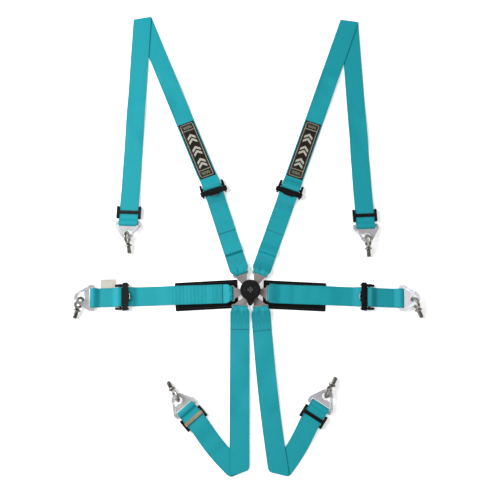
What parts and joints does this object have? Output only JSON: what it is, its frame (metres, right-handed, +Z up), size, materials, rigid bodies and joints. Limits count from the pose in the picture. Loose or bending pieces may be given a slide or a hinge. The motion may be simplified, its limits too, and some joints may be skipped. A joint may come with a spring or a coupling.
{
  "type": "racing harness",
  "caption": "Racing harness laid flat: shoulder, lap and crotch straps meet at a rotary cam-lock buckle; each strap ends in a snap-hook plate holding a threaded eyebolt.",
  "frame": {"origin": "on the buckle's axis, at the level of the flat ground the harness lies on", "axes": "+Z up out of the buckle's face, +Y from the buckle towards the shoulder straps, +X to the right of someone facing +Y"},
  "size_m": [0.9079, 1.2511, 0.0346],
  "materials": {
    "webbing": "woven teal webbing, faint sheen",
    "patch_cloth": "dark woven patch with a pale sewn border",
    "pad_cloth": "black padded cloth with bound edges",
    "label_cloth": "beige cotton tape",
    "black_powder_coat": "satin black powder coat",
    "black_anodised": "satin black",
    "black_plastic": "moulded, satin",
    "bronze_slide": "worn bronze bar on black",
    "zinc_plate": "zinc plated, satin",
    "bright_zinc": "bright zinc",
    "forged_steel": "forged and plated",
    "steel": "machined"
  },
  "bodies": {
    "buckle": {"buckle_housing": "black_anodised", "buckle_base_plate": "zinc_plate", "buckle_screws": "steel", "lap_tongue_left": "zinc_plate"},
    "lever": {"rotary_lever": "black_plastic", "cam_ring": "steel"},
    "latch": {"latch_plungers": "steel", "latch_spring": "steel"},
    "shoulder_tongue_left": {"shoulder_tongue_left": "zinc_plate"},
    "crotch_tongue_left": {"crotch_tongue_left": "zinc_plate"},
    "shoulder_lower_left": {"shoulder_lower_strap_left": "webbing", "shoulder_adjuster_frame_left": "black_powder_coat"},
    "shoulder_upper_left": {"shoulder_upper_strap_left": "webbing", "shoulder_patch_left": "patch_cloth"},
    "shoulder_tail_left": {"shoulder_tail_strap_left": "webbing", "shoulder_slide_left": "black_powder_coat"},
    "lap_left": {"lap_strap_left": "webbing", "lap_pad_left": "pad_cloth"},
    "lap_end_left": {"lap_short_strap_left": "webbing", "lap_adjuster_frame_left": "black_powder_coat", "care_label": "label_cloth"},
    "crotch_left": {"crotch_strap_left": "webbing", "crotch_slide_left": "bronze_slide"},
    "shoulder_adjuster_lever_left": {"shoulder_adjuster_lever_left": "black_powder_coat"},
    "lap_adjuster_lever_left": {"lap_adjuster_lever_left": "black_powder_coat"},
    "shoulder_anchor_plate_left": {"shoulder_anchor_plate_left": "zinc_plate"},
    "shoulder_anchor_gate_left": {"shoulder_anchor_gate_left": "bright_zinc"},
    "shoulder_eyebolt_left": {"shoulder_eyebolt_left": "forged_steel"},
    "lap_anchor_plate_left": {"lap_anchor_plate_left": "zinc_plate"},
    "lap_anchor_gate_left": {"lap_anchor_gate_left": "bright_zinc"},
    "lap_eyebolt_left": {"lap_eyebolt_left": "forged_steel"},
    "crotch_anchor_plate_left": {"crotch_anchor_plate_left": "zinc_plate"},
    "crotch_anchor_gate_left": {"crotch_anchor_gate_left": "bright_zinc"},
    "crotch_eyebolt_left": {"crotch_eyebolt_left": "forged_steel"},
    "shoulder_tongue_right": {"shoulder_tongue_right": "zinc_plate"},
    "lap_tongue_right": {"lap_tongue_right": "zinc_plate"},
    "crotch_tongue_right": {"crotch_tongue_right": "zinc_plate"},
    "shoulder_lower_right": {"shoulder_lower_strap_right": "webbing", "shoulder_adjuster_frame_right": "black_powder_coat"},
    "shoulder_upper_right": {"shoulder_upper_strap_right": "webbing", "shoulder_patch_right": "patch_cloth"},
    "shoulder_tail_right": {"shoulder_tail_strap_right": "webbing", "shoulder_slide_right": "black_powder_coat"},
    "lap_right": {"lap_strap_right": "webbing", "lap_pad_right": "pad_cloth"},
    "lap_end_right": {"lap_short_strap_right": "webbing", "lap_adjuster_frame_right": "black_powder_coat"},
    "crotch_right": {"crotch_strap_right": "webbing", "crotch_slide_right": "black_powder_coat"},
    "shoulder_adjuster_lever_right": {"shoulder_adjuster_lever_right": "black_powder_coat"},
    "lap_adjuster_lever_right": {"lap_adjuster_lever_right": "black_powder_coat"},
    "shoulder_anchor_plate_right": {"shoulder_anchor_plate_right": "zinc_plate"},
    "shoulder_anchor_gate_right": {"shoulder_anchor_gate_right": "bright_zinc"},
    "shoulder_eyebolt_right": {"shoulder_eyebolt_right": "forged_steel"},
    "lap_anchor_plate_right": {"lap_anchor_plate_right": "zinc_plate"},
    "lap_anchor_gate_right": {"lap_anchor_gate_right": "bright_zinc"},
    "lap_eyebolt_right": {"lap_eyebolt_right": "forged_steel"},
    "crotch_anchor_plate_right": {"crotch_anchor_plate_right": "zinc_plate"},
    "crotch_anchor_gate_right": {"crotch_anchor_gate_right": "bright_zinc"},
    "crotch_eyebolt_right": {"crotch_eyebolt_right": "forged_steel"}
  },
  "joints": [
    {"name": "lever_turn", "type": "hinge", "parent": "buckle", "child": "lever", "pos_m": [0, 0, 0.019], "axis": [0, 0, 1], "range_deg": [0, 50]},
    {"name": "latch_lift", "type": "slide", "parent": "buckle", "child": "latch", "axis": [0, 0, 1], "range_m": [0, 0.0017], "deforming": ["latch_spring"]},
    {"name": "shoulder_tongue_release_left", "type": "slide", "parent": "buckle", "child": "shoulder_tongue_left", "axis": [-0.5878, 0.809, 0], "range_m": [0, 0.025]},
    {"name": "shoulder_tongue_release_right", "type": "slide", "parent": "buckle", "child": "shoulder_tongue_right", "axis": [0.5878, 0.809, 0], "range_m": [0, 0.025]},
    {"name": "lap_tongue_release_right", "type": "slide", "parent": "buckle", "child": "lap_tongue_right", "axis": [0.9903, -0.1392, 0], "range_m": [0, 0.025]},
    {"name": "crotch_tongue_release_left", "type": "slide", "parent": "buckle", "child": "crotch_tongue_left", "axis": [-0.5, -0.866, 0], "range_m": [0, 0.025]},
    {"name": "crotch_tongue_release_right", "type": "slide", "parent": "buckle", "child": "crotch_tongue_right", "axis": [0.5, -0.866, 0], "range_m": [0, 0.025]},
    {"name": "shoulder_strap_swing_left", "type": "hinge", "parent": "shoulder_tongue_left", "child": "shoulder_lower_left", "pos_m": [-0.026, 0.046, 0.008], "axis": [0.9511, 0.309, 0], "range_deg": [-25, 70]},
    {"name": "shoulder_strap_swing_right", "type": "hinge", "parent": "shoulder_tongue_right", "child": "shoulder_lower_right", "pos_m": [0.026, 0.046, 0.008], "axis": [0.9426, -0.3338, 0], "range_deg": [-25, 70]},
    {"name": "lap_strap_swing_left", "type": "hinge", "parent": "buckle", "child": "lap_left", "pos_m": [-0.049, -0.008, 0.008], "axis": [-0.0314, 0.9995, 0], "range_deg": [0, 70]},
    {"name": "lap_strap_swing_right", "type": "hinge", "parent": "lap_tongue_right", "child": "lap_right", "pos_m": [0.049, -0.008, 0.008], "axis": [-0.0349, -0.9994, 0], "range_deg": [0, 70]},
    {"name": "crotch_strap_swing_left", "type": "hinge", "parent": "crotch_tongue_left", "child": "crotch_left", "pos_m": [-0.027, -0.044, 0.008], "axis": [-1, 0, 0], "range_deg": [-4, 70]},
    {"name": "crotch_strap_swing_right", "type": "hinge", "parent": "crotch_tongue_right", "child": "crotch_right", "pos_m": [0.0265, -0.046, 0.008], "axis": [-0.9943, -0.1063, 0], "range_deg": [-4, 70]},
    {"name": "shoulder_length_left", "type": "slide", "parent": "shoulder_lower_left", "child": "shoulder_upper_left", "axis": [-0.3762, 0.9265, 0], "range_m": [0, 0.12]},
    {"name": "shoulder_length_right", "type": "slide", "parent": "shoulder_lower_right", "child": "shoulder_upper_right", "axis": [0.3305, 0.9438, 0], "range_m": [0, 0.12]},
    {"name": "lap_length_left", "type": "slide", "parent": "lap_left", "child": "lap_end_left", "axis": [-0.9995, -0.0314, 0], "range_m": [0, 0.1]},
    {"name": "lap_length_right", "type": "slide", "parent": "lap_right", "child": "lap_end_right", "axis": [0.9994, -0.0349, 0], "range_m": [0, 0.1]},
    {"name": "shoulder_fold_open_left", "type": "hinge", "parent": "shoulder_upper_left", "child": "shoulder_tail_left", "pos_m": [-0.30572, 0.78009, 0.00175], "axis": [-0.9843, -0.1762, 0], "range_deg": [0, 60]},
    {"name": "shoulder_fold_open_right", "type": "hinge", "parent": "shoulder_upper_right", "child": "shoulder_tail_right", "pos_m": [0.28095, 0.77151, 0.00175], "axis": [0.9891, -0.1469, 0], "range_deg": [0, 60]},
    {"name": "shoulder_adjuster_release_left", "type": "hinge", "parent": "shoulder_lower_left", "child": "shoulder_adjuster_lever_left", "pos_m": [-0.09908, 0.27093, 0.0085], "axis": [-0.9511, -0.309, 0], "range_deg": [0, 50]},
    {"name": "shoulder_adjuster_release_right", "type": "hinge", "parent": "shoulder_lower_right", "child": "shoulder_adjuster_lever_right", "pos_m": [0.10494, 0.26893, 0.0085], "axis": [-0.9426, 0.3338, 0], "range_deg": [0, 50]},
    {"name": "lap_adjuster_release_left", "type": "hinge", "parent": "lap_end_left", "child": "lap_adjuster_lever_left", "pos_m": [-0.32836, -0.01678, 0.0085], "axis": [0.0314, -0.9995, 0], "range_deg": [0, 50]},
    {"name": "lap_adjuster_release_right", "type": "hinge", "parent": "lap_end_right", "child": "lap_adjuster_lever_right", "pos_m": [0.29935, -0.01674, 0.0085], "axis": [0.0349, 0.9994, 0], "range_deg": [0, 50]},
    {"name": "shoulder_anchor_swing_left", "type": "hinge", "parent": "shoulder_tail_left", "child": "shoulder_anchor_plate_left", "pos_m": [-0.3245, 0.18238, 0.006], "axis": [-0.9995, 0.0314, 0], "range_deg": [-25, 60]},
    {"name": "shoulder_anchor_swing_right", "type": "hinge", "parent": "shoulder_tail_right", "child": "shoulder_anchor_plate_right", "pos_m": [0.30599, 0.17403, 0.006], "axis": [-0.9991, -0.0419, 0], "range_deg": [-25, 60]},
    {"name": "lap_anchor_swing_left", "type": "hinge", "parent": "lap_end_left", "child": "lap_anchor_plate_left", "pos_m": [-0.40782, -0.01928, 0.006], "axis": [-0.0314, 0.9995, 0], "range_deg": [-25, 60]},
    {"name": "lap_anchor_swing_right", "type": "hinge", "parent": "lap_end_right", "child": "lap_anchor_plate_right", "pos_m": [0.39079, -0.01994, 0.006], "axis": [-0.0349, -0.9994, 0], "range_deg": [-25, 60]},
    {"name": "crotch_anchor_swing_left", "type": "hinge", "parent": "crotch_left", "child": "crotch_anchor_plate_left", "pos_m": [-0.16045, -0.30303, 0.006], "axis": [0.7536, 0.6574, 0], "range_deg": [-25, 60]},
    {"name": "crotch_anchor_swing_right", "type": "hinge", "parent": "crotch_right", "child": "crotch_anchor_plate_right", "pos_m": [0.17349, -0.29598, 0.006], "axis": [0.8434, -0.5373, 0], "range_deg": [-25, 60]},
    {"name": "shoulder_eyebolt_swing_left", "type": "hinge", "parent": "shoulder_anchor_plate_left", "child": "shoulder_eyebolt_left", "pos_m": [-0.32367, 0.13893, 0.01719], "axis": [-0.9672, -0.0507, -0.2489], "range_deg": [-60, 80]},
    {"name": "shoulder_eyebolt_swing_right", "type": "hinge", "parent": "shoulder_anchor_plate_right", "child": "shoulder_eyebolt_right", "pos_m": [0.30855, 0.13053, 0.01719], "axis": [-0.955, -0.1615, 0.2489], "range_deg": [-60, 80]},
    {"name": "lap_eyebolt_swing_left", "type": "hinge", "parent": "lap_anchor_plate_left", "child": "lap_eyebolt_left", "pos_m": [-0.44161, -0.0335, 0.01648], "axis": [-0.8352, 0.3847, -0.393], "range_deg": [-60, 80]},
    {"name": "lap_eyebolt_swing_right", "type": "hinge", "parent": "lap_anchor_plate_right", "child": "lap_eyebolt_right", "pos_m": [0.42592, -0.03364, 0.01735], "axis": [-0.8621, -0.4657, 0.1997], "range_deg": [-60, 80]},
    {"name": "crotch_eyebolt_swing_left", "type": "hinge", "parent": "crotch_anchor_plate_left", "child": "crotch_eyebolt_left", "pos_m": [-0.18739, -0.26881, 0.01684], "axis": [0.8443, 0.4224, -0.3297], "range_deg": [-60, 80]},
    {"name": "crotch_eyebolt_swing_right", "type": "hinge", "parent": "crotch_anchor_plate_right", "child": "crotch_eyebolt_right", "pos_m": [0.1966, -0.25879, 0.01639], "axis": [0.8356, -0.3671, 0.4087], "range_deg": [-60, 80]},
    {"name": "shoulder_gate_open_left", "type": "hinge", "parent": "shoulder_anchor_plate_left", "child": "shoulder_anchor_gate_left", "pos_m": [-0.29735, 0.17076, 0.01032], "axis": [-0.0078, -0.2495, -0.9683], "range_deg": [0, 10]},
    {"name": "shoulder_gate_open_right", "type": "hinge", "parent": "shoulder_anchor_plate_right", "child": "shoulder_anchor_gate_right", "pos_m": [0.27897, 0.16212, 0.01031], "axis": [-0.0104, 0.2486, 0.9686], "range_deg": [0, 10]},
    {"name": "lap_gate_open_left", "type": "hinge", "parent": "lap_anchor_plate_left", "child": "lap_anchor_gate_left", "pos_m": [-0.41924, 0.00788, 0.0108], "axis": [0.2928, 0.0092, 0.9561], "range_deg": [0, 10]},
    {"name": "lap_gate_open_right", "type": "hinge", "parent": "lap_anchor_plate_right", "child": "lap_anchor_gate_right", "pos_m": [0.40225, 0.00718, 0.01093], "axis": [0.3038, -0.0106, -0.9527], "range_deg": [0, 10]},
    {"name": "crotch_gate_open_left", "type": "hinge", "parent": "crotch_anchor_plate_left", "child": "crotch_anchor_gate_left", "pos_m": [-0.18827, -0.31297, 0.01023], "axis": [-0.1589, 0.1822, -0.9703], "range_deg": [0, 10]},
    {"name": "crotch_gate_open_right", "type": "hinge", "parent": "crotch_anchor_plate_right", "child": "crotch_anchor_gate_right", "pos_m": [0.20251, -0.30161, 0.01011], "axis": [-0.124, -0.1947, 0.973], "range_deg": [0, 10]}
  ],
  "couplings": [
    {"joint": "latch_lift", "follows": "lever_turn", "m_per_rad": 0.001948}
  ]
}
